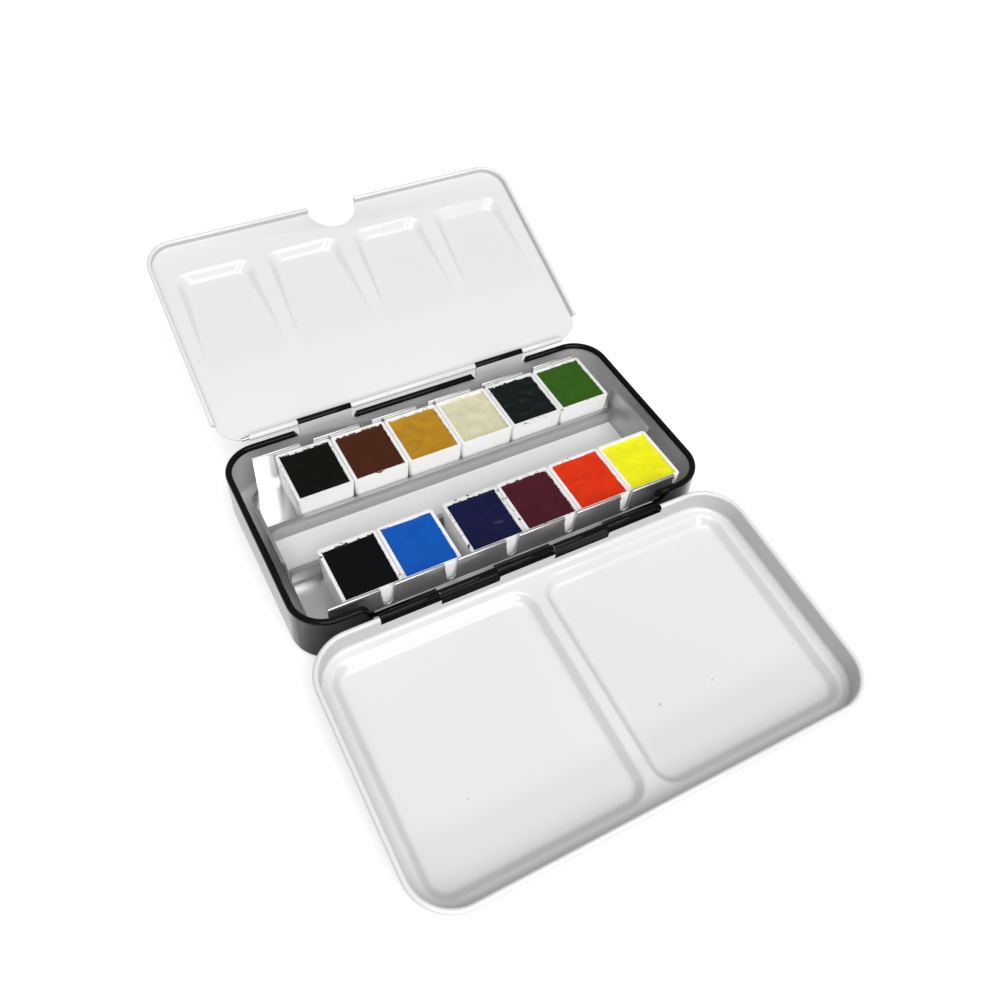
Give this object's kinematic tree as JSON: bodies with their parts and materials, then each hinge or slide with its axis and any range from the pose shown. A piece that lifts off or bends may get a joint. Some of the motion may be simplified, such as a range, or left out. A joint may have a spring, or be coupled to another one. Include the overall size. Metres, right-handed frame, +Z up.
{
  "type": "watercolour paint set",
  "caption": "Open pressed-tin watercolour paint set with a hinged mixing lid, a fold-out palette leaf and a lift-out rack of half pans.",
  "frame": {"origin": "centre of the box's underside, on the table", "axes": "+Z up; +X along both hinges, to the right seen from the lid; +Y from the lid's hinge to the leaf's hinge"},
  "size_m": [0.1238, 0.1984, 0.0442],
  "materials": {
    "box_enamel": "gloss black outside, white enamel inside",
    "lid_enamel": "gloss white enamel inside, black outside",
    "leaf_enamel": "gloss white enamel",
    "wire_steel": "drawn wire",
    "tinplate": "bright tinplate",
    "pan_white": "moulded gloss",
    "paint_01": "dark brown watercolour cake, slightly glossy",
    "paint_02": "burnt brown watercolour cake, slightly glossy",
    "paint_03": "ochre watercolour cake, slightly glossy",
    "paint_04": "cream watercolour cake, slightly glossy",
    "paint_05": "slate watercolour cake, slightly glossy",
    "paint_06": "leaf green watercolour cake, slightly glossy",
    "paint_07": "black watercolour cake, slightly glossy",
    "paint_08": "bright blue watercolour cake, slightly glossy",
    "paint_09": "dark indigo watercolour cake, slightly glossy",
    "paint_10": "maroon watercolour cake, slightly glossy",
    "paint_11": "red watercolour cake, slightly glossy",
    "paint_12": "yellow watercolour cake, slightly glossy"
  },
  "bodies": {
    "box": {"base_box": "box_enamel", "lid_wire": "wire_steel", "leaf_wire": "wire_steel"},
    "lid": {"lid": "lid_enamel"},
    "leaf": {"leaf": "leaf_enamel"},
    "rack": {"rack": "tinplate"},
    "half_pan_01": {"pan_01": "pan_white", "paint_01": "paint_01"},
    "half_pan_02": {"pan_02": "pan_white", "paint_02": "paint_02"},
    "half_pan_03": {"pan_03": "pan_white", "paint_03": "paint_03"},
    "half_pan_04": {"pan_04": "pan_white", "paint_04": "paint_04"},
    "half_pan_05": {"pan_05": "pan_white", "paint_05": "paint_05"},
    "half_pan_06": {"pan_06": "pan_white", "paint_06": "paint_06"},
    "half_pan_07": {"pan_07": "pan_white", "paint_07": "paint_07"},
    "half_pan_08": {"pan_08": "pan_white", "paint_08": "paint_08"},
    "half_pan_09": {"pan_09": "pan_white", "paint_09": "paint_09"},
    "half_pan_10": {"pan_10": "pan_white", "paint_10": "paint_10"},
    "half_pan_11": {"pan_11": "pan_white", "paint_11": "paint_11"},
    "half_pan_12": {"pan_12": "pan_white", "paint_12": "paint_12"}
  },
  "joints": [
    {"name": "lid_hinge", "type": "hinge", "parent": "box", "child": "lid", "pos_m": [0, -0.0347, 0.0143], "axis": [1, 0, 0], "range_deg": [-180, 0]},
    {"name": "leaf_hinge", "type": "hinge", "parent": "box", "child": "leaf", "pos_m": [0, 0.0331, 0.0181], "axis": [-1, 0, 0], "range_deg": [-157.7, 0]},
    {"name": "rack_lift", "type": "slide", "parent": "box", "child": "rack", "axis": [0, 0, 1], "range_m": [0, 0.03]},
    {"name": "pan_01_lift", "type": "slide", "parent": "rack", "child": "half_pan_01", "axis": [0, 0, 1], "range_m": [0, 0.018]},
    {"name": "pan_02_lift", "type": "slide", "parent": "rack", "child": "half_pan_02", "axis": [0, 0, 1], "range_m": [0, 0.018]},
    {"name": "pan_03_lift", "type": "slide", "parent": "rack", "child": "half_pan_03", "axis": [0, 0, 1], "range_m": [0, 0.018]},
    {"name": "pan_04_lift", "type": "slide", "parent": "rack", "child": "half_pan_04", "axis": [0, 0, 1], "range_m": [0, 0.018]},
    {"name": "pan_05_lift", "type": "slide", "parent": "rack", "child": "half_pan_05", "axis": [0, 0, 1], "range_m": [0, 0.018]},
    {"name": "pan_06_lift", "type": "slide", "parent": "rack", "child": "half_pan_06", "axis": [0, 0, 1], "range_m": [0, 0.018]},
    {"name": "pan_07_lift", "type": "slide", "parent": "rack", "child": "half_pan_07", "axis": [0, 0, 1], "range_m": [0, 0.018]},
    {"name": "pan_08_lift", "type": "slide", "parent": "rack", "child": "half_pan_08", "axis": [0, 0, 1], "range_m": [0, 0.018]},
    {"name": "pan_09_lift", "type": "slide", "parent": "rack", "child": "half_pan_09", "axis": [0, 0, 1], "range_m": [0, 0.018]},
    {"name": "pan_10_lift", "type": "slide", "parent": "rack", "child": "half_pan_10", "axis": [0, 0, 1], "range_m": [0, 0.018]},
    {"name": "pan_11_lift", "type": "slide", "parent": "rack", "child": "half_pan_11", "axis": [0, 0, 1], "range_m": [0, 0.018]},
    {"name": "pan_12_lift", "type": "slide", "parent": "rack", "child": "half_pan_12", "axis": [0, 0, 1], "range_m": [0, 0.018]}
  ]
}
